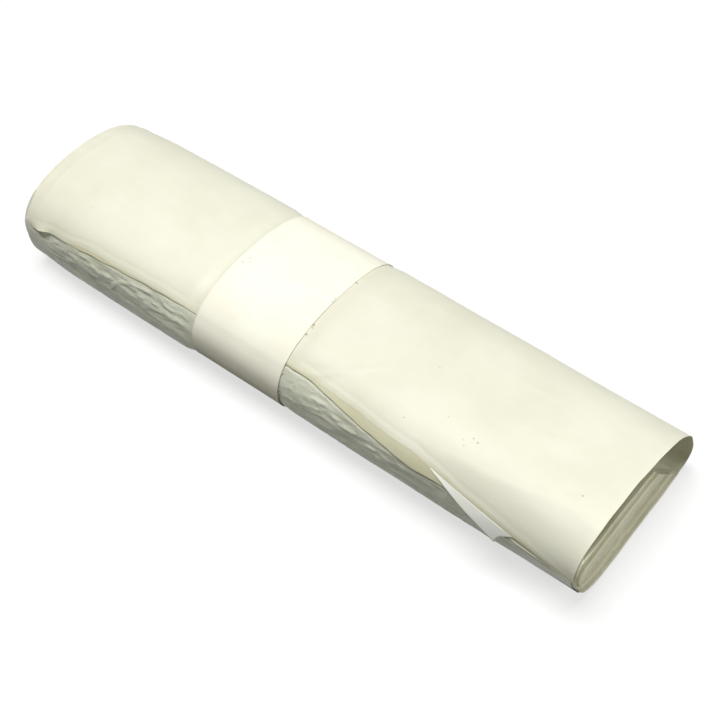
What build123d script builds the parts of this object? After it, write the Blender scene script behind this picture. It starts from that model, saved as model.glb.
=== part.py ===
from build123d import *
import os
from math import cos, pi, sin

# A roll of bin bags: one long web of polythene bags, wound flat without a core, in a glued paper band.
# The roll lies on its side. X runs along it, +Z is up, and the origin is on the floor below its middle.
# The web's free edge lies along the -Y side. The +X end has sprung open and the -X end is tight.
# Two pieces: bag_roll, all the turns as one solid, and paper_band, a ring round its waist.

# Driving dimensions, mm
roll_length = 300.0
waist_half_width = 40.6         # the roll where the band squeezes it
waist_top = 46.8
swell = 0.6                     # how much the roll swells past the band's edges
swell_length = 7.0
tight_half_width = 40.2         # the tight -X end
tight_top = 48.4
tight_lean = 0.08               # sideways shift of the section for each mm of height
sprung_half_width = 43.4        # the sprung +X end
sprung_top = 49.2
sprung_lean = 0.42
sprung_shift = -1.4             # its sideways shift, which keeps the roll's box over the origin
sprung_squareness = 4.5         # the power of the section's lower half, which has settled on the floor
roundness = 2.32                # the power of every other half section: 2 is an ellipse
sprung_early_share = 0.4        # the share of that change reached half way from the band
flat_press = 0.6                # how far the soft underside is pressed flat by the floor

band_width = 47.4
band_middle = -21.9             # the band's middle along X
band_thickness = 0.3
band_clearance = 0.1
band_lift = 0.3                 # the band's underside clears the floor, because the roll swells past it
lap_length = 18.0               # where the band's ends overlap and are glued
lap_start = 0.35                # the lap's upper end, in radians below the roll's far side

wrap_thickness = 0.8            # the outer bag, folded, at its free edge
edge_angle_tight = 0.12         # the free edge's place, in radians above the near side: the tight end,
edge_angle_band = 0.32          # the band
edge_angle_sprung = -0.35       # and the sprung end
ear_from_end = 68.0             # the dog-ear, the outer bag's folded-back corner: its tip, from the +X end
ear_length = 36.0
ear_tip_drop = 23.0             # the tip, below the roll's top
ear_top_drop = 33.4             # the top of its open side
ear_foot_drop = 36.0            # and its foot
ear_foot_length = 29.0
ear_thickness = 0.7

step_lengths = (7.5, 5.4, 3.0)  # how far each of the outer turns stops short of the -X end
step_height = 0.5

mouth_wall = 1.6                # the outer turns where they stand off the stack at the +X end
mouth_depth = 95.0
mouth_taper = 0.3               # the hollow's section at its inner end, as a share of its mouth
mouth_from = 150.0              # the mouth's near end, in degrees round the section, and its far foot
mouth_to = -30.0
hollow_end_side = 16.6          # where the hollow dies out: in from the far side and down from the top
hollow_end_drop = 17.8
arch_gap = 10.2                 # from the sprung turns' top down to the stack of flattened turns
shoulder_gap = 34.4             # from their far side in to the stack's top corner
foot_gap = 6.4                  # and in to its foot
stack_foot_z = 5.0
slit_width = 0.8                # the gaps between the flattened turns
slit_depth = 30.0
slit_margin = 6.0
leaf_count = 3
coil_slit_width = 0.6           # the gap between the turns at the -X end
coil_slit_depth = 9.0
coil_pitch = 4.4
coil_turns = 3.5

# Values that follow
tight_end = -roll_length / 2
sprung_end = roll_length / 2
band_start = band_middle - band_width / 2
band_finish = band_middle + band_width / 2
tight_start = band_start - swell_length
sprung_start = band_finish + swell_length
waist_bottom = band_lift + band_thickness + band_clearance
stack_top = sprung_top - arch_gap
stack_shoulder_y = sprung_half_width - shoulder_gap
stack_foot_y = sprung_half_width - foot_gap
hollow_end_y = waist_half_width - hollow_end_side
hollow_end_z = waist_top - hollow_end_drop
outline_points = 24             # points in one turn's outline
beyond = 60.0                   # past every surface of the roll


def turn_point(angle, half_width, top, bottom, lean=0.0, shift=0.0, low_power=roundness, edge_angle=0.0):
    """A point of a flattened turn at an angle, counted from +Y towards +Z, whatever its free edge's angle."""
    power = roundness if sin(angle) > 0 else low_power
    reach = (abs(cos(angle)) ** power + abs(sin(angle)) ** power) ** (-1 / power)
    middle = (top + bottom) / 2
    height = (top - bottom) / 2 * sin(angle) * reach
    return (half_width * cos(angle) * reach - lean * height + shift, middle + height)


def shrunk(section, inset):
    """The section, parallel to itself and an inset further in."""
    return dict(
        section,
        half_width=section["half_width"] - inset,
        top=section["top"] - inset,
        bottom=section["bottom"] + inset,
    )


def turn_face(section):
    """The outside of the last turn: from its free edge over the top and round, ending one bag further in."""
    points = []
    for i in range(outline_points + 1):
        share = i / outline_points
        angle = pi - section["edge_angle"] - 2 * pi * share
        points.append(turn_point(angle, **shrunk(section, wrap_thickness * share)))
    with BuildLine(mode=Mode.PRIVATE) as outline:
        Spline(*points)
        Line(points[-1], points[0])
    make_face(outline.edges())


def ring_face(section):
    """A closed flattened ring."""
    points = [turn_point(2 * pi * i / outline_points, **section) for i in range(outline_points)]
    with BuildLine(mode=Mode.PRIVATE) as outline:
        Spline(*points, periodic=True)
    make_face(outline.edges())


def blend(start, finish, share):
    """The value at a share of the way from start to finish."""
    return start + (finish - start) * share


def waist_section(grow=0.0):
    """The section under the band, or parallel to it."""
    return dict(
        half_width=waist_half_width + grow,
        top=waist_top + grow,
        bottom=waist_bottom - grow,
        edge_angle=edge_angle_band,
    )


def tight_section(share):
    """The section between the band, at share 0, and the tight end, at share 1."""
    return dict(
        half_width=blend(waist_half_width + swell, tight_half_width, share),
        top=blend(waist_top + swell, tight_top, share),
        bottom=-flat_press,
        lean=tight_lean * share,
        edge_angle=blend(edge_angle_band, edge_angle_tight, share),
    )


def sprung_section(share):
    """The section between the band, at share 0, and the sprung end, at share 1."""
    return dict(
        half_width=blend(waist_half_width + swell, sprung_half_width, share),
        top=blend(waist_top + swell, sprung_top, share),
        bottom=-flat_press,
        lean=sprung_lean * share,
        shift=sprung_shift * share,
        low_power=blend(roundness, sprung_squareness, share),
        edge_angle=blend(edge_angle_band, edge_angle_sprung, share),
    )


def mouth_points():
    """The hollow's mouth: the outer turns' inside, from the near shoulder over the top to the far foot."""
    wall = shrunk(sprung_section(1), mouth_wall)
    steps = outline_points // 2
    angles = [blend(mouth_from, mouth_to, i / steps) * pi / 180 for i in range(steps + 1)]
    return [turn_point(angle, **wall) for angle in angles]


def mouth_face(scale_by=1.0):
    """The hollow between the outer turns and the stack, drawn to a smaller scale towards its inner end."""
    def placed(point):
        return (
            hollow_end_y + (point[0] - hollow_end_y) * scale_by,
            hollow_end_z + (point[1] - hollow_end_z) * scale_by,
        )

    roof = [placed(point) for point in mouth_points()]
    foot = placed((stack_foot_y, stack_foot_z))
    shoulder = placed((stack_shoulder_y, stack_top))
    with BuildLine(mode=Mode.PRIVATE) as outline:
        Spline(*roof)
        Polyline(roof[-1], foot, shoulder, roof[0])
    make_face(outline.edges())


# The dog-ear: the outer bag's corner, folded back flat on the near side
with BuildPart() as dog_ear:
    with BuildSketch(Plane.YZ.offset(sprung_start)):
        turn_face(shrunk(sprung_section(0), -ear_thickness))
    with BuildSketch(Plane.YZ.offset((sprung_start + sprung_end) / 2)):
        turn_face(shrunk(sprung_section(sprung_early_share), -ear_thickness))
    with BuildSketch(Plane.YZ.offset(sprung_end)):
        turn_face(shrunk(sprung_section(1), -ear_thickness))
    loft()
    with BuildSketch(Plane.XZ.offset(waist_half_width / 2)):
        with BuildLine():
            Polyline(
                (sprung_end - ear_from_end, sprung_top - ear_tip_drop),
                (sprung_end - ear_from_end + ear_length, sprung_top - ear_top_drop),
                (sprung_end - ear_from_end + ear_foot_length, sprung_top - ear_foot_drop),
                close=True,
            )
        make_face()
    extrude(amount=beyond, mode=Mode.INTERSECT)

# The roll: a straight waist under the band, a swelling on each side of it, and the two ends
with BuildPart() as bag_roll:
    with BuildSketch(Plane.YZ.offset(band_start)):
        turn_face(waist_section())
    extrude(amount=band_width)
    with BuildSketch(Plane.YZ.offset(band_start)):
        turn_face(waist_section())
    with BuildSketch(Plane.YZ.offset(tight_start)):
        turn_face(tight_section(0))
    loft(ruled=True)
    with BuildSketch(Plane.YZ.offset(tight_start)):
        turn_face(tight_section(0))
    with BuildSketch(Plane.YZ.offset(tight_end + step_lengths[0])):
        turn_face(tight_section(1))
    loft(ruled=True)
    with BuildSketch(Plane.YZ.offset(band_finish)):
        turn_face(waist_section())
    with BuildSketch(Plane.YZ.offset(sprung_start)):
        turn_face(sprung_section(0))
    loft(ruled=True)
    with BuildSketch(Plane.YZ.offset(sprung_start)):
        turn_face(sprung_section(0))
    with BuildSketch(Plane.YZ.offset((sprung_start + sprung_end) / 2)):
        turn_face(sprung_section(sprung_early_share))
    with BuildSketch(Plane.YZ.offset(sprung_end)):
        turn_face(sprung_section(1))
    loft()
    add(dog_ear.part)

    # The tight end: each outer turn stops short of the one inside it
    for number, start in enumerate(step_lengths):
        finish = step_lengths[number + 1] if number + 1 < len(step_lengths) else 0.0
        with BuildSketch(Plane.YZ.offset(tight_end + start)):
            turn_face(shrunk(tight_section(1), step_height * (number + 1)))
        extrude(amount=-(start - finish))

    # The gap between the turns, seen at the tight end as one flattened coil
    coil_outer = []
    coil_inner = []
    for i in range(int(coil_turns * outline_points) + 1):
        turned = i * 2 * pi / outline_points
        inset = coil_pitch * (1 + turned / (2 * pi))
        coil_outer.append(turn_point(turned + pi, **shrunk(tight_section(1), inset)))
        coil_inner.append(turn_point(turned + pi, **shrunk(tight_section(1), inset + coil_slit_width)))
    with BuildSketch(Plane.YZ.offset(tight_end)):
        with BuildLine():
            Spline(*coil_outer)
            Spline(*coil_inner)
            Line(coil_outer[0], coil_inner[0])
            Line(coil_outer[-1], coil_inner[-1])
        make_face()
    extrude(amount=coil_slit_depth, mode=Mode.SUBTRACT)

    # The hollow at the sprung end, where the outer turns arch away from the stack
    with BuildSketch(Plane.YZ.offset(sprung_end)):
        mouth_face()
    with BuildSketch(Plane.YZ.offset(sprung_end - mouth_depth)):
        mouth_face(mouth_taper)
    loft(ruled=True, mode=Mode.SUBTRACT)

    # The gaps between the stack's flattened turns, open to the hollow on their far side
    for level in range(1, leaf_count):
        height = stack_top * level / leaf_count
        slope = (stack_foot_y - stack_shoulder_y) / (stack_top - stack_foot_z)
        far_y = stack_foot_y - slope * (height - stack_foot_z) + slit_width
        lean_here = sprung_lean * ((sprung_top - flat_press) / 2 - height)
        near_y = -sprung_half_width + slit_margin + lean_here
        with BuildSketch(Plane.YZ.offset(sprung_end)):
            with BuildLine():
                ThreePointArc(
                    (near_y, height),
                    ((near_y + far_y) / 2, height + 2 * slit_width),
                    (far_y, height - slit_width),
                )
                ThreePointArc(
                    (near_y, height + slit_width),
                    ((near_y + far_y) / 2, height + 3 * slit_width),
                    (far_y, height),
                )
                Line((near_y, height), (near_y, height + slit_width))
                Line((far_y, height - slit_width), (far_y, height))
            make_face()
        extrude(amount=-slit_depth, mode=Mode.SUBTRACT)

    # The flat spot on the underside
    split(bisect_by=Plane.XY, keep=Keep.TOP)

bag_roll.part.label = "bag_roll"

# The paper band: a ring of paper, with its ends lapped and glued on the far side, low down
lap_end = lap_start + lap_length / waist_half_width
lap_angles = [-blend(lap_start, lap_end, i / 4) for i in range(5)]
lap_outer = [turn_point(angle, **waist_section(band_clearance + 2 * band_thickness)) for angle in lap_angles]
lap_inner = [turn_point(angle, **waist_section(band_clearance + band_thickness / 2)) for angle in lap_angles]
with BuildPart() as paper_band:
    with BuildSketch(Plane.YZ.offset(band_start)):
        ring_face(waist_section(band_clearance + band_thickness))
    extrude(amount=band_width)
    with BuildSketch(Plane.YZ.offset(band_start)):
        with BuildLine():
            Spline(*lap_outer)
            Spline(*lap_inner)
            Line(lap_outer[0], lap_inner[0])
            Line(lap_outer[-1], lap_inner[-1])
        make_face()
    extrude(amount=band_width)
    with BuildSketch(Plane.YZ.offset(band_start)):
        ring_face(waist_section(band_clearance))
    extrude(amount=band_width, mode=Mode.SUBTRACT)

paper_band.part.label = "paper_band"

os.makedirs("parts", exist_ok=True)
for piece in (bag_roll, paper_band):
    export_step(piece.part, f"parts/{piece.part.label}.step")
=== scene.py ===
# %% [markdown]
# # A roll of bin bags held by a paper band
#
# The object is one long web of thin polythene bags, wound flat without a core. A strip of paper glued round
# its waist keeps it from unwinding. It lies on its side, and its own weight has pressed a small flat spot
# underneath.
#
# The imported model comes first. It fixes where everything is, and everything made here is fitted round it.

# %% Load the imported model
import math

import bpy
import numpy as np
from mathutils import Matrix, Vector, noise


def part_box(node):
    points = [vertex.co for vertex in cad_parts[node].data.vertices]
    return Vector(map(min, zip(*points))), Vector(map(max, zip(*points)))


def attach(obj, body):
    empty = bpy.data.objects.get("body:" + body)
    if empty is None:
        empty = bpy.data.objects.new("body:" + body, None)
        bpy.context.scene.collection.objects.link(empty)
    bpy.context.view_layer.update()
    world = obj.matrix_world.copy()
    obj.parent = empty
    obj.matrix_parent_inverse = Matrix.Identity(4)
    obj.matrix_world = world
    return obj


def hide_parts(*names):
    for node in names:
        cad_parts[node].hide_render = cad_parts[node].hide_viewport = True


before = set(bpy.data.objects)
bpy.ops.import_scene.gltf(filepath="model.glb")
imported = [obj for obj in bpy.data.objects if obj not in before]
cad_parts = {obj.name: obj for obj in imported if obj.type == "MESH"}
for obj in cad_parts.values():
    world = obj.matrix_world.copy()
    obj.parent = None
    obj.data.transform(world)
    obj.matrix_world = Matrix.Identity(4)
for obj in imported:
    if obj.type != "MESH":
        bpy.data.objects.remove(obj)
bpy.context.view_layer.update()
MM = 0.001

# %% [markdown]
# ## The few sizes that drive the rest
#
# The roll's two ends and the band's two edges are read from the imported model's boxes, and the sections in
# the next step are placed by them. Only the thicknesses of the film and the paper are new.

# %% Sizes, in millimetres
roll_low, roll_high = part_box("bag_roll")
band_low, band_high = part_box("paper_band")
TIGHT_END = roll_low[0] / MM              # the end that is still wound tight
SPRUNG_END = roll_high[0] / MM            # the end whose outer turns have sprung open
BAND_START = band_low[0] / MM
BAND_FINISH = band_high[0] / MM
FILM_THICKNESS = 0.09                     # one folded bag, four layers of film pressed together
PAPER_THICKNESS = 0.16                    # a sheet of wrapping paper
print("roll from", round(TIGHT_END, 1), "to", round(SPRUNG_END, 1), "mm")
print("band from", round(BAND_START, 1), "to", round(BAND_FINISH, 1), "mm")

# %% [markdown]
# ## The section of a flattened turn
#
# Cut the roll across and each turn is a flattened ring. A superellipse gives that shape with few numbers:
# at power 2 it is an ellipse, and higher powers have fuller corners. The sprung end leans sideways, because
# the stack of turns has slid over like a pack of cards, and its lower half has settled nearly square on the
# floor.
#
# The band pulls the waist in, so the film swells a little past the paper on both sides, and the waist's
# underside is held just clear of the floor.
#
# A designer could also draw each section by hand and loft between them. A formula was chosen because every
# turn is then the same shape a little further in, and no two turns can cross.

# %% Sections along the roll
WAIST_FADE = 8.0                          # the film has swelled to its full size this far past the band
BAND_LIFT = 0.4                           # the waist's underside, clear of the floor
FLAT_SINK = 0.5                           # each section is cut flat this far above its lowest point
SAMPLES = 720                             # points round a section
NORMAL_STEP = 0.8                         # the outward direction is measured over this far each way
SECTIONS = [
    # along X, half width, top, lean, power of the upper half, power of the lower half
    (TIGHT_END, 39.6, 48.4, 0.08, 2.25, 3.3),
    (TIGHT_END + 30, 41.0, 48.3, 0.05, 2.35, 3.2),
    (BAND_START - WAIST_FADE, 41.3, 47.5, 0.00, 2.38, 2.8),
    (BAND_START, 40.6, 46.8, 0.00, 2.35, 2.35),
    (BAND_FINISH, 40.6, 46.8, 0.00, 2.35, 2.35),
    (BAND_FINISH + WAIST_FADE, 41.2, 47.3, 0.01, 2.35, 2.4),
    (80.0, 42.0, 48.0, 0.16, 2.32, 3.0),
    (SPRUNG_END, 43.2, 49.2, 0.40, 2.30, 4.4),
]


def section_at(x):
    """The section's five numbers at a place along the roll, blended smoothly between the ones above."""
    x = min(max(x, SECTIONS[0][0]), SECTIONS[-1][0])
    for low, high in zip(SECTIONS, SECTIONS[1:]):
        if x <= high[0]:
            share = (x - low[0]) / (high[0] - low[0])
            share = share * share * (3 - 2 * share)
            return [a + (b - a) * share for a, b in zip(low[1:], high[1:])]


def waist_share(x):
    """1 under the band, 0 well away from it."""
    outside = max(BAND_START - x, x - BAND_FINISH, 0.0)
    return max(0.0, 1 - outside / WAIST_FADE) ** 2


# %% One turn, to be walked round
class Ring:
    """One flattened turn at a place along the roll, which can be walked along by distance.

    Distance 0 is on top of the roll over its middle line, and it grows towards the near side.
    """

    def __init__(self, x, inset=0.0):
        half_width, top, lean, upper, lower = section_at(x)
        bottom = BAND_LIFT * waist_share(x) - FLAT_SINK
        half_width, top, bottom = half_width - inset, top - inset, bottom + inset
        hair = 1e-4                       # keeps the points off the axes, where the formula has a kink
        angle = math.pi / 2 + np.linspace(0, 2 * math.pi, SAMPLES + 1) + hair
        cosine, sine = np.cos(angle), np.sin(angle)
        power = np.where(sine > 0, upper, lower)
        reach = (np.abs(cosine) ** power + np.abs(sine) ** power) ** (-1 / power)
        height = (top - bottom) / 2 * sine * reach
        self.y = half_width * cosine * reach - lean * height
        self.z = np.maximum((top + bottom) / 2 + height, inset)
        step = np.hypot(np.diff(self.y), np.diff(self.z))
        self.walk = np.concatenate([[0.0], np.cumsum(step)])
        self.length = self.walk[-1]
        tail = slice(SAMPLES * 3 // 4, SAMPLES + 1)
        self.start = np.interp(0.0, self.y[tail][::-1], self.walk[tail][::-1])

    def at(self, distance, lift=0.0):
        """The points at distances round the turn, lifted off it along its outward normal."""
        def point(s):
            s = (s + self.start) % self.length
            return np.interp(s, self.walk, self.y), np.interp(s, self.walk, self.z)

        y, z = point(distance)
        ahead_y, ahead_z = point(distance + NORMAL_STEP)
        behind_y, behind_z = point(distance - NORMAL_STEP)
        along_y, along_z = ahead_y - behind_y, ahead_z - behind_z
        size = np.hypot(along_y, along_z) + 1e-9
        return y + lift * along_z / size, z - lift * along_y / size


waist = Ring((BAND_START + BAND_FINISH) / 2)
print("one turn at the waist is", round(waist.length, 1), "mm round")

# %% [markdown]
# ## From a grid of points to a sheet
#
# Every sheet of film here is a grid: rows along the roll, and points round a turn. A grid keeps its faces
# four sided and evenly sized, so small wrinkles bend it cleanly. A Solidify modifier then gives it the
# film's thickness.

# %% Meshes from points
def mesh_object(name, points, faces):
    """A smooth-shaded mesh object from points in millimetres."""
    mesh = bpy.data.meshes.new(name)
    mesh.from_pydata([tuple(p) for p in np.asarray(points) * MM], [], faces)
    mesh.polygons.foreach_set("use_smooth", [True] * len(mesh.polygons))
    mesh.update()
    piece = bpy.data.objects.new(name, mesh)
    bpy.context.scene.collection.objects.link(piece)
    return piece


def grid_faces(rows, columns, wrap_rows=False, wrap_columns=False):
    """The four-sided faces of a grid whose points are listed row by row."""
    faces = []
    for r in range(rows if wrap_rows else rows - 1):
        row = r * columns
        next_row = (r + 1) % rows * columns
        for c in range(columns if wrap_columns else columns - 1):
            beside = (c + 1) % columns
            faces.append((row + c, row + beside, next_row + beside, next_row + c))
    return faces


def thicken(piece, thickness):
    """Gives a sheet its thickness, inwards, and keeps its cut edge from shading its face."""
    solid = piece.modifiers.new("thickness", "SOLIDIFY")
    solid.thickness = thickness * MM
    solid.offset = -1.0
    normals = piece.modifiers.new("flat_to_the_edge", "WEIGHTED_NORMAL")
    normals.weight = 100


# %% A sheet laid on the roll
FLOOR_GAP = 0.02                          # no point of a sheet comes nearer to the floor than this


def sheet(name, xs, distance_of, lift_of, thickness, inset=0.0, shift_of=None):
    """A sheet laid on the roll.

    distance_of(x) gives the distances round the turn of one row's points, lift_of(x, distances) how far each
    stands off the turn, and shift_of(x, distances) how far each is moved along the roll. A row may run either
    way round, so the faces are turned where they would look inwards.
    """
    points = []
    for x in xs:
        distances = distance_of(x)
        y, z = Ring(x, inset).at(distances, lift_of(x, distances))
        along = np.full(len(distances), x) if shift_of is None else x + shift_of(x, distances)
        points.append(np.stack([along, y, np.maximum(z, FLOOR_GAP)], axis=-1))
    rows, columns = len(points), len(points[0])
    faces = grid_faces(rows, columns)
    if distances[0] > distances[-1]:
        faces = [face[::-1] for face in faces]
    piece = mesh_object(name, np.concatenate(points), faces)
    thicken(piece, thickness)
    print(name, "is a grid of", rows, "by", columns)
    return piece


# %% Shapes for folds and wrinkles
def hump(value, middle, half_width):
    """A smooth bump: 1 at the middle, 0 beyond its half width."""
    share = np.clip(1 - np.abs((value - middle) / half_width), 0, 1)
    return share * share * (3 - 2 * share)


def ease(value, low, high):
    """0 below low, 1 above high, and smooth between."""
    share = np.clip((value - low) / (high - low), 0, 1)
    return share * share * (3 - 2 * share)


def soft_noise(x, distances, along, across, seed):
    """Smooth noise on the film: its lumps are as long and as wide as the two sizes given, in millimetres."""
    return np.array([noise.noise(Vector((x / along, d / across, seed))) for d in distances])


def creases(x, distances, along, across, seed):
    """Sharp ridges with soft valleys between them, as in film that has been crushed and let go."""
    bend = 0.6 * soft_noise(x, distances, along * 1.7, across * 1.7, seed + 5.3)
    ridge = [
        1 - 2 * abs(noise.noise(Vector((x / along + b, d / across + b, seed))))
        for d, b in zip(distances, bend)
    ]
    return np.array(ridge)


def follow(x, line):
    """The distance at x of a line given by a few (x, distance) points."""
    return float(np.interp(x, [p[0] for p in line], [p[1] for p in line]))


# %% [markdown]
# ## The outer bag
#
# The last bag on the roll goes once round it. Its free edge lies along the near side, a little below the
# shoulder, and wanders as film does when nothing holds it flat. From that edge the film runs over the top,
# down the far side and underneath, and comes up again on the near side below its own edge.
#
# Cloth simulation could drape it, but film wound this tight hardly drapes. The folds are few and each has
# its own place, so they are laid on one by one: a crease beside the band, a few shallow dents, and puckers
# where the paper grips.

# %% Where the film's edges run
FREE_EDGE = [
    (-150, 46.5), (-141, 45.9), (-132, 43.9), (-120, 43.4), (-110, 41.4), (-99, 40.7), (-75, 39.4),
    (-46, 38.6), (2, 36.2), (14, 36.1), (30, 37.4), (45, 38.9), (60, 40.7), (68, 40.4),
    (76, 42.2), (84, 43.8), (98, 46.6), (112, 48.9), (118, 49.9), (130, 52.0), (140, 54.2),
    (151, 56.8),
]
SECOND_EDGE = [
    (-120, 43.8), (-75, 39.9), (-46, 39.1), (2, 36.8), (14, 37.3), (30, 40.2), (45, 43.2), (60, 45.8),
    (72, 47.4), (82, 46.8), (92, 46.9), (112, 49.6), (151, 57.0),
]
HEM = 3.1                                 # the film's hem is doubled, this far up from the free edge
OUTER_START = -142.6                      # where the outer bag stops short of the tight end
OPENING = -136.5                          # the free edge stands open here, near the tight end
SPLAY_FROM, SPLAY_TO = 84, 112            # the layers' edges come apart between these


def free_edge(x):
    """The free edge, with the small waves of unsupported film."""
    wave = 0.5 * noise.noise(Vector((x / 9.0, 3.1, 0.7))) + 0.25 * noise.noise(Vector((x / 3.5, 8.2, 0.1)))
    return follow(x, FREE_EDGE) + wave


def away_from_band(x):
    """0 under the band and 1 beyond a few millimetres from it."""
    return float(ease(max(BAND_START - x, x - BAND_FINISH), 0.5, 9.0))


print("the free edge is", round(free_edge(BAND_FINISH), 1), "mm round from the top where it leaves the band")


# %% The outer bag's folds
def distance_to(x, distances, line):
    """How far each point is from a line of (x, distance) points, and its place along it, from 0 to 1."""
    best = np.full(len(distances), 1e9)
    share = np.zeros(len(distances))
    for i, (start, finish) in enumerate(zip(line, line[1:])):
        run = np.array(finish) - np.array(start)
        offset = np.stack([x - start[0] + 0 * distances, distances - start[1]], axis=-1)
        t = np.clip(offset @ run / (run @ run), 0, 1)
        gap = np.hypot(*(offset - t[:, None] * run).T)
        share = np.where(gap < best, (i + t) / (len(line) - 1), share)
        best = np.minimum(best, gap)
    return best, share


BAND_CREASE = [(13.5, 36.0), (21.0, 31.5), (30.0, 24.0), (39.0, 16.5), (46.0, 11.0)]
DENTS = [
    # along X, distance, half length, half width, depth
    (120, 12, 11, 7, 0.45), (108, 4, 7, 3, 0.2), (131, 22, 6, 4, 0.25), (95, -8, 12, 5, 0.2),
    (-95, 8, 16, 9, 0.2),
]
EDGE_RIDGE = 0.16                         # a cut end of film stands up a little, just inside its edge
PUCKER = 2.1                              # the puckers beside the band are 2 pi times this apart
PUCKER_FADE = 6.0                         # and fade over this length


def outer_relief(x, distances):
    """How far the outer bag stands off its turn."""
    lift = 0.35 * soft_noise(x, distances, 55, 26, 1.0) + 0.12 * soft_noise(x, distances, 21, 9, 2.0)
    # The crease is a sharp ridge with a shallow valley beside it, and it dies out away from the band.
    gap, share = distance_to(x, distances, BAND_CREASE)
    lift += (0.34 * np.exp(-(gap / 0.9) ** 2) - 0.16 * np.exp(-((gap - 2.6) / 2.0) ** 2)) * (1 - share)
    for middle_x, middle_d, half_x, half_d, depth in DENTS:
        lift -= depth * hump(x, middle_x, half_x) * hump(distances, middle_d, half_d)
    puckers = np.cos(distances / PUCKER + 3 * soft_noise(x, distances, 200, 30, 3.0))
    lift += 0.10 * puckers * math.exp(-max(BAND_START - x, x - BAND_FINISH, 0.0) / PUCKER_FADE)
    # Its free edge stands open in one place, lifts where the layers splay, and has a doubled hem.
    from_edge = np.where(distances > 0, free_edge(x) - distances, 99.0)
    near_edge = np.exp(-np.maximum(from_edge, 0) / 2.5)
    lifted = 1.5 * hump(x, OPENING, 6) + 0.30 * hump(x, 66, 20) + 0.25 * ease(x, SPLAY_FROM, SPLAY_TO)
    lift += 0.10 * (1 - ease(from_edge, HEM - 0.3, HEM + 0.3)) - 0.10 * hump(from_edge, HEM + 0.5, 0.9)
    ridge = EDGE_RIDGE * float(hump(x, OUTER_START + 1.3, 1.6))
    return (lift + near_edge * lifted) * away_from_band(x) + ridge


# %% The outer bag's painted shade and its two ends
def painted_shade_tone(x, distances):
    """Painted shade on the outer bag: up to 1 on the near side below the shoulder, which is painted grey, and down
    to -1 along the free edge, which is yellowed as painted shade of the fold.
    """
    # Painted shade: towards the sprung end, the near side below this line is painted grey, where the film turns
    # into shade.
    shade_edge_line = 35.5 - 5.5 * float(ease(x, 70, 140)) + 1.6 * soft_noise(x, distances, 16, 12, 41.0)
    painted_grey_shade = float(ease(x, 40, 95)) * ease(distances, shade_edge_line - 1.8, shade_edge_line + 1.8)
    from_edge = np.where(distances > 0, free_edge(x) - distances, 99.0)
    # Painted shade: a band along the free edge is yellowed, most strongly towards the sprung end, where the film
    # folds under.
    fold_shade = (0.35 + 0.65 * float(ease(x, 60, 90))) * np.exp(-np.maximum(from_edge, 0) / 3.0)
    return painted_grey_shade * (distances > 0) * 0.8 * (1 - fold_shade) - fold_shade


def outer_shift(x, distances):
    """Film never ends square: its ends wander, and the sprung end's far top stands out furthest."""
    slant = np.interp(distances, [-108, -86, -58, 0, 60], [-2.6, -2.2, 0, -1.2, -2.6])
    ragged = 0.25 * soft_noise(0, distances, 1, 12, 6.0)
    at_tight = 1 - ease(x, OUTER_START, OUTER_START + 10)
    return ease(x, SPRUNG_END - 25, SPRUNG_END) * (slant + ragged) + at_tight * ragged * 1.5


# %% Make the outer bag
TUCK = 76.0                               # the film's hidden inner end, this far round from the top
FINE_TO = -12                             # its points lie closer together from the free edge as far as this


def outer_distances(x):
    """From the free edge backwards over the top and round underneath, with finer steps on the near side."""
    fine_steps = np.linspace(free_edge(x), FINE_TO, 64)
    return np.concatenate([fine_steps, np.linspace(FINE_TO - 2.2, TUCK - Ring(x).length, 66)])


outer_xs = np.linspace(OUTER_START, SPRUNG_END, 250)
outer_bag = sheet("outer_bag", outer_xs, outer_distances, outer_relief, FILM_THICKNESS, shift_of=outer_shift)
# Each point of the outer bag carries its painted shade, grey or yellowed, in its "tone" attribute.
painted_shade_tones = np.concatenate([painted_shade_tone(x, outer_distances(x)) for x in outer_xs])
outer_bag.data.attributes.new("tone", "FLOAT", "POINT").data.foreach_set("value", painted_shade_tones)
print("its tone runs from", round(painted_shade_tones.min(), 2), "to", round(painted_shade_tones.max(), 2))

# %% [markdown]
# ## The film below the free edge
#
# Under its free edge the outer bag comes round again, and here nobody has smoothed it. It is crushed into
# small sharp creases that run mostly along the roll, with a few shiny blisters of trapped air. This strip
# is its own sheet with a finer grid, because its creases are smaller than those on top.

# %% The strip's creases
BLISTERS = [
    # along X, distance, half length, half width
    (-128, 46.8, 3, 0.9), (-104, 47.2, 2, 0.8), (-86, 47.8, 2.5, 0.9), (-68, 46.2, 3, 0.9),
    (-110, 45.5, 6, 1.6), (-79, 45.2, 5, 1.5), (-76, 47.0, 4, 1.3), (-96, 47.5, 4, 1.4),
    (-60, 44.0, 5, 1.2), (22, 43.5, 5, 1.2), (30, 46.5, 6, 1.3), (40, 48.5, 5, 1.2),
    (50, 51.0, 6, 1.4),
]
BLISTER_HEIGHT = 0.6
END_ROUNDING = 3.0                        # the tight end's rim is rounded over by this radius
UNDER_COVER = -0.80                       # the strip keeps this far down where a layer lies over it
HIGHEST_CREASE = 0.30
RISING_CREASE = [(-93, 53), (-91, 49), (-87, 45.6), (-81, 43.4), (-72, 42.6)]


def end_rounding(x):
    """How far the tight end's rim is rounded over."""
    into_end = min(max((TIGHT_END + END_ROUNDING - x) / END_ROUNDING, 0.0), 1.0)
    return END_ROUNDING * (1 - math.sqrt(1 - into_end ** 2))


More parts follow.
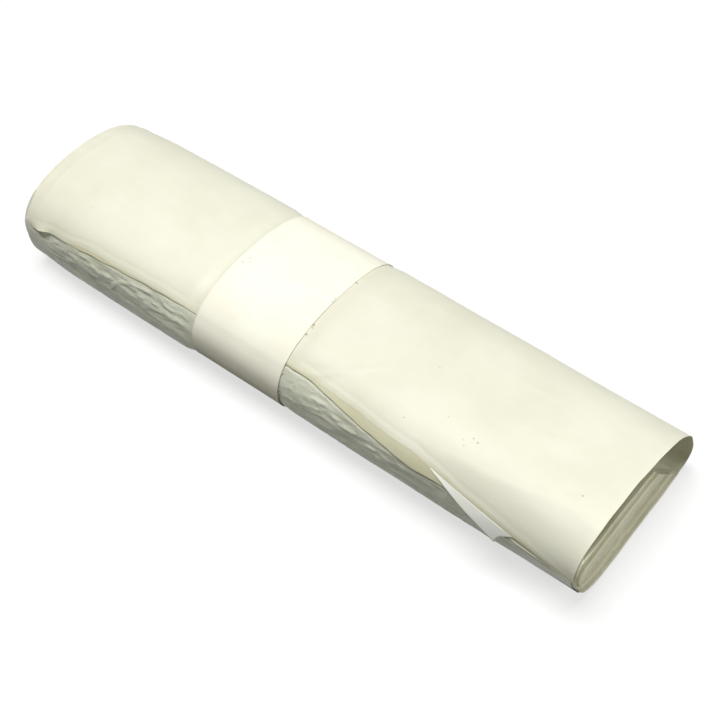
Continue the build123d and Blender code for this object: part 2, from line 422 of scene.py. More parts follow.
def crushed_relief(x, distances):
    """The crushed strip's creases and blisters."""
    # Least creased under the band, near the free edge, underneath and towards both ends.
    strength = (0.2 + 0.8 * away_from_band(x)) * (0.35 + 0.65 * ease(distances, 38, 44))
    strength = strength * (1 - 0.75 * ease(distances, 56, 70)) * (1 - 0.5 * float(ease(x, 95, 125)))
    strength = strength * (0.15 + 0.85 * float(ease(x, -147, -134)))
    # Three sizes of crease, each a little less than half as long as the one before.
    lift = 0.50 * creases(x, distances, 30, 7.0, 11.0) + 0.40 * creases(x, distances, 11, 3.4, 12.0)
    lift += 0.22 * creases(x, distances, 4.6, 2.0, 13.0)
    lift = (lift - 0.80) * strength - 0.12 + 0.15 * (1 - away_from_band(x))
    for middle_x, middle_d, half_x, half_d in BLISTERS:
        lift += BLISTER_HEIGHT * hump(x, middle_x, half_x) * hump(distances, middle_d, half_d)
    gap, share = distance_to(x, distances, RISING_CREASE)
    lift = np.minimum(lift + 0.8 * np.exp(-(gap / 0.7) ** 2), HIGHEST_CREASE)
    lift -= 1.3 * hump(x, OPENING, 7) * hump(distances, 47.5, 4) + end_rounding(x)
    covered_to = follow(x, SECOND_EDGE) - 0.1 + 0.7 * float(ease(x, -50, 5))
    return np.where(distances < covered_to, np.minimum(lift, UNDER_COVER), lift)


# %% Make the crushed strip
STRIP_TOP, STRIP_FOOT = 30.0, 82.0        # it runs round from under the outer bag to under the roll

crushed_strip = sheet(
    "crushed_strip",
    np.linspace(TIGHT_END + 0.4, SPRUNG_END - 4.0, 420),
    lambda x: np.linspace(STRIP_TOP, STRIP_FOOT, 84),
    crushed_relief,
    FILM_THICKNESS,
    inset=0.25,
)

# %% [markdown]
# ## The second layer's edge
#
# A bag on a roll is folded, so it has several layers, and their edges don't quite meet. A strip of the next
# layer shows below the free edge, and its colour is painted deeper, as painted shade of the first layer over it.

# %% Make the second layer
SECOND_START = -121                       # it doesn't show nearer to the tight end than this


def second_relief(x, distances):
    """The second layer lies close below the first and lifts a little at its own edge."""
    at_edge = np.exp(-np.maximum(follow(x, SECOND_EDGE) - distances, 0) / 1.5)
    wrinkles = 0.10 * np.minimum(creases(x, distances, 30, 5, 21.0), 0.4) - 0.04
    inside = outer_relief(x, np.minimum(distances, free_edge(x))) - FILM_THICKNESS - 0.03
    lifted = hump(x, OPENING, 8) * 1.5 + 0.3 * float(ease(x, SPLAY_FROM, SPLAY_TO))
    return inside - lifted + (wrinkles + 0.08 * at_edge) * away_from_band(x) * (distances > free_edge(x) - 2)


def second_distances(x):
    """From its own edge back to well under the outer bag."""
    wave = 0.4 * noise.noise(Vector((x / 8.0, 1.1, 4.7)))
    return np.linspace(follow(x, SECOND_EDGE) + wave, 28.0, 26)


second_layer = sheet(
    "second_layer",
    np.linspace(SECOND_START, SPRUNG_END - 4.2, 190),
    second_distances,
    second_relief,
    FILM_THICKNESS,
)

# %% [markdown]
# ## The folded corner and the splayed layers
#
# Towards the sprung end the outer bag's corner is folded back on itself. The little triangle faces upwards,
# so it catches the light, and past it the edges of the layers stand apart like the pages of a thumbed book.

# %% Make the folded corner
# Each corner of the triangle is a place along X and a distance round the roll.
CORNER_TIP = np.array((78.0, 42.4))
CORNER_TOP = np.array((120.0, 50.3))
CORNER_FOOT = np.array((113.5, 56.4))
CORNER_ROWS, CORNER_COLUMNS = 48, 14


def corner_points(rows, columns):
    """The triangle of film, from its tip to its open side, lifted most at its foot."""
    points = []
    for along in np.linspace(0.01, 1, rows):
        for across in np.linspace(0, 1, columns):
            top = CORNER_TIP + (CORNER_TOP - CORNER_TIP) * along
            foot = CORNER_TIP + (CORNER_FOOT - CORNER_TIP) * along
            x, distance = top + (foot - top) * across
            x = x - 2.0 * along ** 6 * math.sin(math.pi * across)
            lift = outer_relief(x, np.array([free_edge(x)]))[0] + 0.05
            lift += along * (1.5 * across + 0.9 * across * across) + 0.15 * across
            lift += 0.10 * noise.noise(Vector((x / 6, distance / 4, 9.0)))
            y, z = Ring(x).at(np.array([distance]), np.array([lift]))
            points.append((x, y[0], max(z[0], 0.1)))
    return points


folded_corner = mesh_object(
    "folded_corner",
    corner_points(CORNER_ROWS, CORNER_COLUMNS),
    grid_faces(CORNER_ROWS, CORNER_COLUMNS),
)
thicken(folded_corner, FILM_THICKNESS)
print("the folded corner is", CORNER_TOP[0] - CORNER_TIP[0], "mm long")

# %% Make the splayed layers
SPLAYED_LAYERS = 4
SPLAYED_THICKNESS = 0.08
SPLAY_DEPTH = 44.0                        # each goes back under the outer bag to this distance from the top


def splayed_layer(number):
    """One of the thin layers whose edges stand apart below the folded corner."""
    def edge(x):
        spread = (1.1 + 1.75 * number) * (1 - 0.75 * float(ease(x, 116, 152)))
        return follow(x, FREE_EDGE) + spread + 0.35 * noise.noise(Vector((x / 7, number * 3.1, 0.2)))

    def lift_of(x, distances):
        at_edge = np.exp(-np.maximum(edge(x) - distances, 0) / 0.6)
        curl = 0.80 + 0.16 * number + 0.25 * math.sin(x / 7.0 + 2 * number)
        under = -FILM_THICKNESS - 0.08 - 0.30 * number
        sag = 0.3 * ease(distances, edge(x) - 3, edge(x) - 1)
        return under + (distances > free_edge(x)) * at_edge * curl - sag

    def distance_of(x):
        at_edge = np.linspace(edge(x), edge(x) - 2.0, 12)
        return np.concatenate([at_edge, np.linspace(edge(x) - 2.4, SPLAY_DEPTH, 16)])

    xs = np.linspace(SPLAY_TO + 1.0 + 1.5 * number, SPRUNG_END - 3.0 - 0.4 * number, 70)
    return sheet(f"splayed_layer_{number + 1}", xs, distance_of, lift_of, SPLAYED_THICKNESS)


splayed = [splayed_layer(number) for number in range(SPLAYED_LAYERS)]

# %% [markdown]
# ## Turns that stop short
#
# At the tight end each of the last turns ends a little before the one inside it, which leaves fine steps
# like the edge of a stack of paper. At the sprung end, one more turn lines the outer bag. Each takes the
# outer bag's own shape, a few films' thickness further in, so the steps stay even.

# %% Make the short turns
SHORT_TURN_THICKNESS = 0.10
STEPS_END = -125                          # the tight end's short turns reach back under the outer bag to here


def short_turn(name, xs, step, near_edge_of, seed):
    """A short length of one turn, a step inside the outer bag."""
    def shift_of(x, distances):
        at_end = 1.0 if x in (xs[0], xs[-1]) else 0.0
        wander = 0.5 * soft_noise(seed, distances, 1, 17, seed)
        return at_end * wander + (outer_shift(x, distances) if x > 0 else 0.0)

    return sheet(
        name,
        xs,
        lambda x: np.linspace(near_edge_of(x), TUCK - Ring(x).length, 150),
        lambda x, distances: outer_relief(x, distances) - step + EDGE_RIDGE * hump(x, xs[1], 1.3),
        SHORT_TURN_THICKNESS,
        shift_of=shift_of,
    )


short_turns = [
    short_turn("tight_turn_1", np.linspace(-144.7, STEPS_END, 18), 0.30, lambda x: free_edge(x) - 0.5, 1.0),
    short_turn("tight_turn_2", np.linspace(-147.2, STEPS_END, 20), 0.55, lambda x: free_edge(x) - 0.8, 2.0),
    short_turn("sprung_turn", np.linspace(30, 149.2, 70), 0.40, lambda x: 14.0, 7.0),
]

# %% [markdown]
# ## The wound turns
#
# Inside lie all the other turns. At the tight end they fill the roll, like the rings of a flattened tree
# trunk. At the sprung end they are a flat stack, and the outer turns arch away from it over a hollow on the
# far side. The roll has no core, so a narrow slit runs through its middle from end to end.
#
# Thousands of separate sheets would be true but useless. One closed surface is enough: its two end faces
# are made of fine rings, and each ring is pushed in or out a little, so the cut edges of the film are real
# steps.

# %% The outline of the stack
AROUND = 330                              # points round the stack
BELOW_FILM = 0.75                         # how far inside the outer bag it lies
HOLLOW_START = 45.0                       # where the outer turns begin to stand off the stack
HOLLOW_FULL = SPRUNG_END - 12             # and where they stand off it fully
SMOOTHINGS = 8                            # passes that round the stack's corners
STACK_TOP = 39.6
STACK_SHOULDER = 10.0                     # the stack's far top corner
STACK_FOOT = 41.5                         # and its far bottom corner
NEAR_SHOULDER = -46.0                     # its near side, at its top
NEAR_FOOT = -29.0                         # and at the floor
CORE_HALF_WIDTH = 22.0                    # the middle slit at the tight end
CORE_HEIGHT = 22.5


def stack_outline(x):
    """The stack's outline at x: evenly spaced points, from underneath up the far side and down the near."""
    ring = Ring(x)
    open_share = float(ease(x, HOLLOW_START, HOLLOW_FULL))
    distances = np.linspace(0, ring.length, 600, endpoint=False) + ring.length / 2
    below_edge = 0.9 * hump(distances % ring.length, 56, 30) * (1 - float(ease(x, 105, 135)))
    y, z = ring.at(distances, -BELOW_FILM - below_edge - end_rounding(x))
    far_limit = STACK_FOOT - (z - 2) * (STACK_FOOT - STACK_SHOULDER) / (STACK_TOP - 2)
    top_limit = STACK_TOP + 0.9 * np.cos((y + 12) / 18)
    y = y + (np.minimum(y, far_limit) - y) * open_share
    z = z + (np.minimum(z, top_limit) - z) * open_share
    for _ in range(SMOOTHINGS):
        y = (np.roll(y, 1) + 2 * y + np.roll(y, -1)) / 4
        z = (np.roll(z, 1) + 2 * z + np.roll(z, -1)) / 4
    y, z = np.append(y, y[0]), np.append(z, z[0])
    walk = np.concatenate([[0.0], np.cumsum(np.hypot(np.diff(y), np.diff(z)))])
    even = np.linspace(0, walk[-1], AROUND, endpoint=False)
    return np.stack([np.interp(even, walk, y), np.interp(even, walk, z)], axis=-1)


stack_width = np.ptp(stack_outline(HOLLOW_FULL)[:, 0])
print("the stack is", round(float(stack_width), 1), "mm wide where the hollow is full")


# %% From the outline to the turns inside it
def near_side(z):
    """The stack's leaning near side at a height."""
    return NEAR_FOOT + (NEAR_SHOULDER - NEAR_FOOT) * z / STACK_TOP


def far_side(z):
    """The stack's slanted far side at a height."""
    return STACK_FOOT + (STACK_SHOULDER - STACK_FOOT) * z / STACK_TOP


def nested(outline, share, x):
    """The turn at a share of the way from the middle slit to the outline.

    At the tight end it is a ring, and at the sprung end it is one of the stack's flat layers.
    """
    y, z = outline[:, 0], outline[:, 1]
    height = CORE_HEIGHT + (z - CORE_HEIGHT) * share
    middle = np.clip(y, -CORE_HALF_WIDTH, CORE_HALF_WIDTH)
    rolled = middle + (y - middle) * share
    across = (y - near_side(z)) / (far_side(z) - near_side(z))
    across = 0.5 + (across - 0.5) * (0.95 + 0.05 * share)
    stacked = near_side(height) + across * (far_side(height) - near_side(height))
    open_share = float(ease(x, HOLLOW_START, HOLLOW_FULL))
    return np.stack([rolled + (stacked - rolled) * open_share, height], axis=-1)


# %% The steps in the end faces
RINGS = 64                                # steps in each end face, about a third of a millimetre each
SLIT_SHARE = 0.02                         # how much of the way out the innermost ring lies
EDGE_GROUPS = [0.985, 0.42]               # turns whose edges stand out of the sprung end
rings = np.linspace(1.0, SLIT_SHARE, RINGS)


def tight_depth(number, share):
    """How far a ring of the tight end is pushed in: fine steps, and a gentle dish towards the middle."""
    fine = 0.20 * noise.noise(Vector((number * 0.9, 2.0, 1.0))) + 0.18 * (number % 2)
    return max(0.0, 0.3 + fine + 2.0 * (1 - share) ** 2)


def sprung_depth(number, share):
    """How far a ring of the sprung end is pushed in: some turns stand out, with a dark gap inside each."""
    nearest = min(abs(share - group) for group in EDGE_GROUPS)
    behind = min((group - share for group in EDGE_GROUPS if group - share > 0.02), default=1.0)
    fine = 0.30 * noise.noise(Vector((number * 0.8, 5.0, 3.0))) + 0.22 * (number % 2)
    stands_out = 1.7 * math.exp(-(nearest / 0.026) ** 2)
    gap = 1.6 * math.exp(-((behind - 0.07) / 0.024) ** 2)
    return max(0.0, 1.6 + fine - stands_out + gap)


# %% Make the wound turns
SPRUNG_FACE = 148.8                       # the sprung end's face, before its rings are pushed in
loops = []

# Along the outside: the tight end's rounded rim, then wide steps, with closer ones where the hollow opens.
end_xs = TIGHT_END + END_ROUNDING * (1 - np.cos(np.linspace(0, math.pi / 2, 9)))
outer_loops = [end_xs, np.linspace(-146, -40, 36), np.linspace(-35, 40, 12), np.linspace(45, 145.5, 70)]
for x in np.concatenate(outer_loops):
    loops.append((np.full(AROUND, x), stack_outline(x)))

# Inwards over the sprung end's face, whose rings also wander a little along X.
face_start = len(loops) - 1
outline = stack_outline(SPRUNG_FACE)
wander = np.array([noise.noise(Vector((p[0] / 14, p[1] / 14, 2.2))) for p in outline])
for number, share in enumerate(rings):
    place = nested(outline, share, SPRUNG_FACE)
    loops.append((SPRUNG_FACE - sprung_depth(number, share) + 0.4 * wander * share, place))
face_finish = len(loops)

# Back through the slit, and outwards over the tight end's face.
for x in np.linspace(120, -120, 9):
    loops.append((np.full(AROUND, x), nested(stack_outline(x), SLIT_SHARE, x)))
tight_face_start = len(loops) - 1
outline = stack_outline(TIGHT_END)
for number, share in reversed(list(enumerate(rings[1:]))):
    place = nested(outline, share, TIGHT_END)
    loops.append((TIGHT_END + tight_depth(number, share) + 0.2 * wander * share, place))

points = np.concatenate([np.column_stack([along, place]) for along, place in loops])
faces = grid_faces(len(loops), AROUND, wrap_rows=True, wrap_columns=True)
wound_turns = mesh_object("wound_turns", points, faces)

# The cut edges of the film get a material of their own and flat shading, so that each step stays crisp.
for polygon in wound_turns.data.polygons:
    row = polygon.index // AROUND
    if face_start <= row < face_finish or row >= tight_face_start:
        polygon.material_index = 1
        polygon.use_smooth = False
print("wound_turns has", len(wound_turns.data.polygons), "faces in", len(loops), "loops")

# %% [markdown]
# ## The paper band
#
# A strip of plain paper goes round the waist and is glued to itself on the far side, low down, where the
# second thickness makes a small step. Paper is stiff: it bridges the film's small lumps instead of
# following them, and its cut edges stay nearly straight.

# %% Make the band
BAND_STANDOFF = 0.12                      # how far the paper's inner face stands off the film
TRIM = 0.1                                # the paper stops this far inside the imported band's edges
LAP_FROM, LAP_TO = -92.0, -74.0           # the glued lap's place round the roll


def band_lift(x, distances):
    """The paper rides over the free edge of the film, and over its own end at the lap."""
    over_edge = 0.18 * (1 - ease(distances, 37.0, 40.5)) * (distances > 0)
    slack = 0.10 * soft_noise(x, distances, 40, 14, 31.0)
    curl = 0.12 * (math.exp(-(x - BAND_START) / 2.5) + math.exp(-(BAND_FINISH - x) / 2.5))
    return BAND_STANDOFF + over_edge + np.maximum(slack, 0) + curl + PAPER_THICKNESS


def band_shift(x, distances):
    """The paper was cut in long strips by a worn blade, so its edges wander by a hair."""
    at_edge = 1.0 if x < BAND_START + 1.2 or x > BAND_FINISH - 1.2 else 0.0
    return at_edge * 0.22 * soft_noise(x / 50, distances, 1, 7, 33.0)


band_xs = np.linspace(BAND_START + TRIM, BAND_FINISH - TRIM, 44)
paper_wrap = sheet(
    "paper_wrap",
    band_xs,
    lambda x: np.linspace(LAP_TO, LAP_TO + Ring(x).length - 0.05, 240),
    band_lift,
    PAPER_THICKNESS,
    shift_of=band_shift,
)
paper_lap = sheet(
    "paper_lap",
    band_xs,
    lambda x: np.linspace(LAP_FROM, LAP_TO + 0.3, 26),
    lambda x, distances: band_lift(x, distances) + PAPER_THICKNESS + 0.03,
    PAPER_THICKNESS,
    shift_of=band_shift,
)

# %% [markdown]
# ## Specks of dust
#
# Film picks up dust by its static charge, and cut paper sheds fibres along its edge. The specks are
# few, and they lie in known places, so each is a real flake laid on the surface rather than a dot in the
# material.

# %% Make the specks
# Each speck is a place along X, a distance round the roll, and a size.
FILM_SPECKS = [
    (57, 4.5, 0.30), (58.5, 31, 0.35), (73.5, 21.6, 0.30), (85.5, 28.5, 0.35), (84, 26.5, 0.28),
    (87, 24, 0.40), (89.4, 24.6, 0.50), (135, 21.9, 0.55), (-118, 24.0, 0.30),
]
EDGE_SPECKS = [
    (2.1, -12.0, 0.5), (2.2, 16.6, 0.55), (2.5, 18.0, 0.40), (2.2, 21.8, 0.45), (2.2, 41.0, 0.45),
    (2.1, 49.5, 0.5), (2.2, 51.5, 0.4), (2.0, 53.6, 0.55), (1.0, 1.0, 0.35), (1.3, 3.0, 0.3),
]
SMUDGES = [(-42.0, 4.8, 0.7), (-40.6, 6.8, 0.5), (-43.0, 8.6, 0.6), (-38.5, 8.0, 0.4)]
FLAKE_SIDES = 9
FLAKE_THICKNESS = 0.04


def flakes(name, marks, lift_of):
    """Flat irregular flakes laid on the roll, each at its own place and of its own size."""
    points, faces = [], []
    for number, (x, distance, size) in enumerate(marks):
        for side in range(FLAKE_SIDES):
            angle = 2 * math.pi * side / FLAKE_SIDES
            reach = size * (0.75 + 0.35 * math.sin(2.3 * number + 1.9 * side))
            place = x + 1.2 * reach * math.cos(angle)
            around = np.array([distance + reach * math.sin(angle)])
            y, z = Ring(place).at(around, lift_of(place, around) + 0.05)
            points.append((place, y[0], z[0]))
        faces.append(tuple(range(number * FLAKE_SIDES, (number + 1) * FLAKE_SIDES))[::-1])
    piece = mesh_object(name, points, faces)
    thicken(piece, FLAKE_THICKNESS)
    print(name, "is", len(marks), "flakes")
    return piece


def paper_or_film(x, distances):
    """The height of whichever surface is uppermost beside the band's edge."""
    return band_lift(x, distances) if BAND_START < x < BAND_FINISH else outer_relief(x, distances) + 0.1


film_specks = flakes("film_specks", FILM_SPECKS, outer_relief)
edge_specks = flakes("edge_specks", EDGE_SPECKS, paper_or_film)
band_smudge = flakes("band_smudge", SMUDGES, band_lift)

# %% [markdown]
# ## Colour
#
# Screens use sRGB numbers, but light adds up in linear ones. One function turns a designer's hex colour
# into the linear values that the shader wants, and one small function adds any shader node with its
# settings and links.

# %% Colour and node helpers
def linear(hex_colour):
    """Linear RGBA from an sRGB hex colour."""
    channels = [int(hex_colour[i:i + 2], 16) / 255 for i in (1, 3, 5)]
    return tuple(c / 12.92 if c <= 0.04045 else ((c + 0.055) / 1.055) ** 2.4 for c in channels) + (1.0,)


def node(tree, kind, settings=None, **inputs):
    """Adds a node, sets its properties, and sets its inputs, or links those that are given a socket.

    An input is named as Blender names it, with _ for a space, or by its number, as in i0. The setting "stops" is
    for a colour ramp: its two stops, each a place and a hex colour.
    """
    made = tree.nodes.new(kind)
    settings = dict(settings or {})
    for stop, (place, hex_colour) in enumerate(settings.pop("stops", [])):
        made.color_ramp.elements[stop].position = place
        made.color_ramp.elements[stop].color = linear(hex_colour)
    for key, value in settings.items():
        setattr(made, key, value)
    for key, value in inputs.items():
        numbered = key[0] == "i" and key[1:].isdigit()
        socket = made.inputs[int(key[1:]) if numbered else key.replace("_", " ")]
        if isinstance(value, bpy.types.NodeSocket):
            tree.links.new(value, socket)
        else:
            socket.default_value = value
    return made


def new_material(name):
    """An empty material with its output, ready for a shader."""
    material = bpy.data.materials.new(name)
    material.use_nodes = True
    material.node_tree.nodes.clear()
    return material, material.node_tree


print("mid grey #808080 is", round(linear("#808080")[0], 3), "in linear light")

# %% [markdown]
# ## Low-density polythene film
#
# Bin bags like these are blown from natural low-density polythene with a little white in it. One layer is
# milky and see-through, but a bag folded many times over is a deep cream. Blown film has faint streaks
# along the way it was pulled, dust sticks to it, and handling leaves it scuffed rather than glossy.

# %% LDPE film
FILM_CREAM = "#F2F0DA"
FILM_SHADE = "#EAE7CE"
PAINTED_SHADE_GREY = "#DDDBC6"                     # painted shade, on the near side below the shoulder
PAINTED_FOLD_SHADE = "#DDD8AE"                   # painted shade, along the free edge where the film folds under
STREAK_MM = 6.4                           # draw marks are finer than this on real film, drawn coarser to show
STREAK_LENGTH_MM = 250                    # and they run most of the roll's length
CLOUD_MM = 35.7                           # patches of paler film, where it was blown a little thicker
WRINKLE_MM = 11.1                         # soft wrinkles from handling
SCUFF_MM = 2.38                           # scuffs, also drawn coarser than they are
FACET_MM = 2.2                            # crushed film bends into flat facets about this wide
FILM_BUMP_MM = 0.3                        # the height of wrinkles and facets
LIGHT_DEPTH = (0.0022, 0.0018, 0.0010)    # metres that red, green and blue light go into the layers
LDPE_IOR = 1.51


def polythene(name, light, deep, roughness, crinkle, with_painted_shade=False, crushed=False):
    """Blown LDPE film, many layers deep."""
    material, tree = new_material(name)
    where = node(tree, "ShaderNodeTexCoord").outputs["Object"]
    streak_scale = (1000 / STREAK_LENGTH_MM, 1000 / STREAK_MM, 1000 / STREAK_MM)
    along = node(tree, "ShaderNodeMapping", Vector=where, Scale=streak_scale)
    streaks = node(tree, "ShaderNodeTexNoise", Vector=along.outputs[0], Scale=1.0, Detail=2.0)
    clouds = node(tree, "ShaderNodeTexNoise", Vector=where, Scale=1000 / CLOUD_MM, Detail=3.0, Roughness=0.55)
    # The clouds carry the colour, and the streaks a quarter as much.
    mixed = node(tree, "ShaderNodeMath", {"operation": "MULTIPLY_ADD"},
                 i0=streaks.outputs["Fac"], i1=0.25, i2=clouds.outputs["Fac"])
    shades = node(tree, "ShaderNodeValToRGB", {"stops": [(0.42, deep), (0.80, light)]}, i0=mixed.outputs[0])
    colour = shades.outputs["Color"]
    if with_painted_shade:
        # The mesh says how much painted shade each of its points takes: grey on the near side, and yellowed along
        # the free edge.
        tone = node(tree, "ShaderNodeAttribute", {"attribute_name": "tone"}).outputs["Fac"]
        grey = node(tree, "ShaderNodeMapRange", Value=tone, i1=0.0, i2=1.0, i3=0.0, i4=1.0)
        fold_shade = node(tree, "ShaderNodeMapRange", Value=tone, i1=0.0, i2=-1.0, i3=0.0, i4=1.0)
        for amount, tint in ((grey, PAINTED_SHADE_GREY), (fold_shade, PAINTED_FOLD_SHADE)):
            mix = node(tree, "ShaderNodeMix", {"data_type": "RGBA"},
                       i0=amount.outputs[0], i6=colour, i7=linear(tint))
            colour = mix.outputs[2]
    # Wrinkles stand higher than scuffs, and crushed film has facets as well, bent a little by the scuffs.
    scuffs = node(tree, "ShaderNodeTexNoise", Vector=where, Scale=1000 / SCUFF_MM, Detail=4.0, Roughness=0.6)
    wrinkles = node(tree, "ShaderNodeTexNoise", Vector=where, Scale=1000 / WRINKLE_MM, Detail=3.0,
                    Roughness=0.5, Distortion=0.6)
    relief = node(tree, "ShaderNodeMath", {"operation": "MULTIPLY_ADD"},
                  i0=wrinkles.outputs["Fac"], i1=2.5, i2=scuffs.outputs["Fac"])
    if crushed:
        bent = node(tree, "ShaderNodeMix", {"data_type": "VECTOR"},
                    i0=0.012, i4=where, i5=scuffs.outputs["Color"])
        facets = node(tree, "ShaderNodeTexVoronoi", Vector=bent.outputs[1], Scale=1000 / FACET_MM)
        relief = node(tree, "ShaderNodeMath", {"operation": "MULTIPLY_ADD"},
                      i0=facets.outputs["Distance"], i1=1.6, i2=relief.outputs[0])
    bump = node(tree, "ShaderNodeBump", Strength=crinkle, Distance=FILM_BUMP_MM * MM,
                Height=relief.outputs[0])
    gloss = node(tree, "ShaderNodeMapRange", Value=clouds.outputs["Fac"], i1=0.3, i2=0.7, i3=roughness - 0.05,
                 i4=roughness + 0.07)
    shader = node(tree, "ShaderNodeBsdfPrincipled", Base_Color=colour, Roughness=gloss.outputs[0],
                  IOR=LDPE_IOR, Normal=bump.outputs[0])
    # Dust dulls its gloss a little, and light goes a millimetre or two into the layers before it comes out.
    shader.inputs["Specular IOR Level"].default_value = 0.40
    shader.inputs["Subsurface Weight"].default_value = 0.15
    shader.inputs["Subsurface Radius"].default_value = LIGHT_DEPTH
    shader.inputs["Subsurface Scale"].default_value = 1.0
    node(tree, "ShaderNodeOutputMaterial", Surface=shader.outputs[0])
    return material


# %% The film's finishes on this roll
# Smooth film is half dull, crushed film glints on its facets, and a single fold is paler than many layers.
# The smoothed-over film also takes the outer bag's painted shade.
smooth_film_painted_shade = polythene("LDPE film, smoothed over", FILM_CREAM, FILM_SHADE, 0.48, 0.22, with_painted_shade=True)
plain_film = polythene("LDPE film, inner turns", FILM_CREAM, FILM_SHADE, 0.48, 0.22)
crushed_film = polythene("LDPE film, crushed", "#E4E5CE", "#CFD0B8", 0.36, 0.42, crushed=True)
# Painted shade: the second layer is darker and yellower than the cream film, for the shade of the first layer over
# it.
second_layer_painted_shade = polythene("LDPE film, second layer", "#E6E2C0", "#DAD5AE", 0.45, 0.3)
single_film = polythene("LDPE film, one fold", "#F6F6EC", "#EEEEE2", 0.42, 0.22)
film_edges = polythene("LDPE film, cut edges", "#E4E1C8", "#CFCCB0", 0.50, 0.3)
print("polythene finishes:", [m.name for m in bpy.data.materials if m.name.startswith("LDPE")])

# %% [markdown]
# ## Uncoated paper
#
# The band is plain uncoated paper, the kind used for wrappers. Its fibres lie flat but never quite even, so
# it scatters light like chalk and has no gloss. Handling has left a faint smudge and a few specks along one
# edge.

# %% Uncoated paper
FIBRE_MM = 0.9                            # wood fibres are about 1 to 3 mm long
PAPER_CLOUD_MM = 16.7                     # pulp settles in faint clouds, seen best against the light
PAPER_BUMP_MM = 0.15
PAPER_WHITE = "#F6F3E4"
PAPER_SHADE = "#F0EDDC"
PAPER_IOR = 1.47                          # cellulose


def paper():
    """Uncoated white wrapping paper."""
    material, tree = new_material("Uncoated paper")
    where = node(tree, "ShaderNodeTexCoord").outputs["Object"]
    fibres = node(tree, "ShaderNodeTexNoise", Vector=where, Scale=1000 / FIBRE_MM, Detail=5.0, Roughness=0.7)
    clouds = node(tree, "ShaderNodeTexNoise", Vector=where, Scale=1000 / PAPER_CLOUD_MM, Detail=3.0)
    tone = node(tree, "ShaderNodeMath", {"operation": "MULTIPLY_ADD"},
                i0=fibres.outputs["Fac"], i1=0.3, i2=clouds.outputs["Fac"])
    shades = node(tree, "ShaderNodeValToRGB", {"stops": [(0.45, PAPER_SHADE), (0.85, PAPER_WHITE)]},
                  i0=tone.outputs[0])
    bump = node(tree, "ShaderNodeBump", Strength=0.25, Distance=PAPER_BUMP_MM * MM,
                Height=fibres.outputs["Fac"])
    shader = node(tree, "ShaderNodeBsdfPrincipled", Base_Color=shades.outputs["Color"], Roughness=0.88,
                  IOR=PAPER_IOR, Normal=bump.outputs[0])
    shader.inputs["Specular IOR Level"].default_value = 0.25
    node(tree, "ShaderNodeOutputMaterial", Surface=shader.outputs[0])
    return material


# %% [markdown]
# ## Dust
#
# House dust is skin, lint and grit, and it is dull whatever it lies on. The flakes on the film are faint, those
# along the paper's cut edge are darker, and the smudge on the paper is hardly darker than the paper.

# %% Dust
DUST_PALE = "#D6D4C0"                     # each flake is mottled between this and a colour of its own
DUST_GRAIN_MM = 0.4


def dust(name, colour):
    """Grey-brown dust and fibres, dull all over."""
    material, tree = new_material(name)
    where = node(tree, "ShaderNodeTexCoord").outputs["Object"]
    grain = node(tree, "ShaderNodeTexNoise", Vector=where, Scale=1000 / DUST_GRAIN_MM, Detail=2.0)
    shades = node(tree, "ShaderNodeValToRGB", {"stops": [(0.3, colour), (0.7, DUST_PALE)]},
                  i0=grain.outputs["Fac"])
    shader = node(tree, "ShaderNodeBsdfPrincipled", Base_Color=shades.outputs["Color"], Roughness=0.9)
    node(tree, "ShaderNodeOutputMaterial", Surface=shader.outputs[0])
    return material


band_paper = paper()
film_dust = dust("Dust on film", "#C2C0AA")
edge_dust = dust("Dust at the paper's edge", "#77766A")
smudge_dust = dust("Faint smudge", "#E6E4D6")
print(len(bpy.data.materials), "materials so far")

# %% [markdown]
# ## Dressing the pieces
#
# Each piece takes its finish here and is hung on the body that carries it, and the imported piece it stands for
# is hidden. Nothing on the roll moves by itself, so one body carries it all.

# %% Dress the pieces and hide the imported ones they replace
film_pieces = [(outer_bag, smooth_film_painted_shade), (crushed_strip, crushed_film), (second_layer, second_layer_painted_shade),
               (folded_corner, single_film), (wound_turns, plain_film)]
film_pieces += [(piece, plain_film) for piece in splayed + short_turns]
film_pieces += [(film_specks, film_dust), (edge_specks, edge_dust)]
for piece, material in film_pieces:
    piece.data.materials.append(material)
    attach(piece, "root")
    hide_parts("bag_roll")
wound_turns.data.materials.append(film_edges)
band_pieces = [(paper_wrap, band_paper), (paper_lap, band_paper), (band_smudge, smudge_dust)]
for piece, material in band_pieces:
    piece.data.materials.append(material)
    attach(piece, "root")
    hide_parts("paper_band")
print(len(film_pieces), "pieces stand for the roll, and", len(band_pieces), "for the band")

# %% [markdown]
# ## Floor, light and camera
#
# The roll lies on a plain white surface. A broad soft light hangs over it, as a ceiling panel does, and a
# weaker one faces the sprung end, so that the stack's edges show. The sides fall quickly into shade, which
# is what shows the creases.
#
# The floor shows white to the camera and in glossy reflections, but reflects less than that onto the roll,
# so the shaded side stays shaded. Near the roll it is partly plain board, which takes a shadow, and further
# off it glows white and melts into the backdrop. More light would also whiten it, but would burn out the
# film.

# %% Floor
FLOOR_REACH = 4                           # metres each way
GLOW_FROM, GLOW_FULL = 0.22, 0.65         # metres from the middle: it turns to plain white between these
GLOW_NEAR = 0.66                          # the share of glow beside the roll; the rest takes the shadow
BOARD_DIM = "#6E6E66"                     # what the roll sees of the board

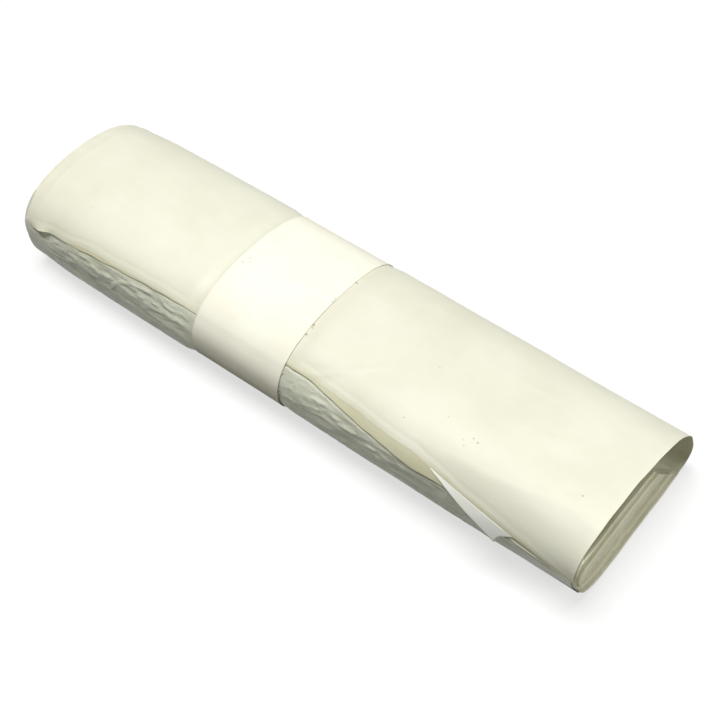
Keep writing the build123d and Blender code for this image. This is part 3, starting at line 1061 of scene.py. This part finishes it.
reach = FLOOR_REACH
floor_corners = [(-reach, -reach, 0), (reach, -reach, 0), (reach, reach, 0), (-reach, reach, 0)]
floor_mesh = bpy.data.meshes.new("floor")
floor_mesh.from_pydata(floor_corners, [], [(0, 1, 2, 3)])
floor = bpy.data.objects.new("floor", floor_mesh)
bpy.context.scene.collection.objects.link(floor)
floor_material, tree = new_material("Plain white board")
rays = node(tree, "ShaderNodeLightPath")
seen = node(tree, "ShaderNodeMath", {"operation": "MAXIMUM"}, i0=rays.outputs["Is Camera Ray"],
            i1=rays.outputs["Is Glossy Ray"])
dim = node(tree, "ShaderNodeBsdfDiffuse", Color=linear(BOARD_DIM))
white = node(tree, "ShaderNodeBsdfDiffuse", Color=linear("#FFFFFF"))
glow = node(tree, "ShaderNodeEmission", Color=linear("#FFFFFF"), Strength=1.0)
place = node(tree, "ShaderNodeTexCoord").outputs["Object"]
far = node(tree, "ShaderNodeVectorMath", {"operation": "LENGTH"}, i0=place)
glowing = node(tree, "ShaderNodeMapRange", Value=far.outputs["Value"],
               i1=GLOW_FROM, i2=GLOW_FULL, i3=GLOW_NEAR, i4=1.0)
bright = node(tree, "ShaderNodeMixShader", i0=glowing.outputs[0], i1=white.outputs[0], i2=glow.outputs[0])
board = node(tree, "ShaderNodeMixShader", i0=seen.outputs[0], i1=dim.outputs[0], i2=bright.outputs[0])
node(tree, "ShaderNodeOutputMaterial", Surface=board.outputs[0])
floor.data.materials.append(floor_material)
print("floor", 2 * FLOOR_REACH, "m square")

# %% World
AMBIENT_TINT = (0.96, 0.98, 0.91, 1.0)
AMBIENT = 0.16                            # weak, so that the folds keep their shade

world = bpy.data.worlds.new("studio")
bpy.context.scene.world = world
world.use_nodes = True
tree = world.node_tree
tree.nodes.clear()
rays = node(tree, "ShaderNodeLightPath")
ambient = node(tree, "ShaderNodeBackground", Color=AMBIENT_TINT, Strength=AMBIENT)
backdrop = node(tree, "ShaderNodeBackground", Color=(1.0, 1.0, 1.0, 1.0), Strength=1.0)
sky = node(tree, "ShaderNodeMixShader", i0=rays.outputs["Is Camera Ray"], i1=ambient.outputs[0],
           i2=backdrop.outputs[0])
node(tree, "ShaderNodeOutputWorld", Surface=sky.outputs[0])

# %% Lights
def panel(name, place, size, watts):
    """A square soft light that faces the roll, with its place and its side in metres."""
    lamp = bpy.data.lights.new(name, "AREA")
    lamp.size = size
    lamp.energy = watts
    fixture = bpy.data.objects.new(name, lamp)
    fixture.location = place
    fixture.rotation_euler = Vector(place).to_track_quat("Z", "Y").to_euler()
    bpy.context.scene.collection.objects.link(fixture)
    print(name, "gives", watts, "W")


panel("ceiling_panel", (-0.1, -0.2, 1.5), 0.8, 23.5)
panel("end_panel", (1.2, 0.35, 0.45), 0.5, 6.0)

# %% Camera
AZIMUTH = math.radians(37.7)
ELEVATION = math.radians(51.2)
ROLL_LENGTH = (SPRUNG_END - TIGHT_END) * MM
DISTANCE = 2.037 * ROLL_LENGTH            # from what the camera looks at, close to the roll's middle
FOCAL_LENGTH = 71.2                       # mm, on a full-frame sensor 36 mm wide
back = Vector((math.sin(AZIMUTH) * math.cos(ELEVATION), -math.cos(AZIMUTH) * math.cos(ELEVATION),
               math.sin(ELEVATION)))
aim = Vector((0.0468, -0.0034, 0.0548)) * ROLL_LENGTH
lens = bpy.data.cameras.new("camera")
lens.lens = FOCAL_LENGTH
lens.sensor_width = 36.0
lens.clip_start = 0.01
camera = bpy.data.objects.new("camera", lens)
camera.location = aim + back * DISTANCE
camera.rotation_euler = back.to_track_quat("Z", "Y").to_euler()
bpy.context.scene.collection.objects.link(camera)
bpy.context.scene.camera = camera
print("the camera is", round(DISTANCE, 3), "m away")

# %% Colour management
scene = bpy.context.scene
scene.view_settings.view_transform = "Standard"
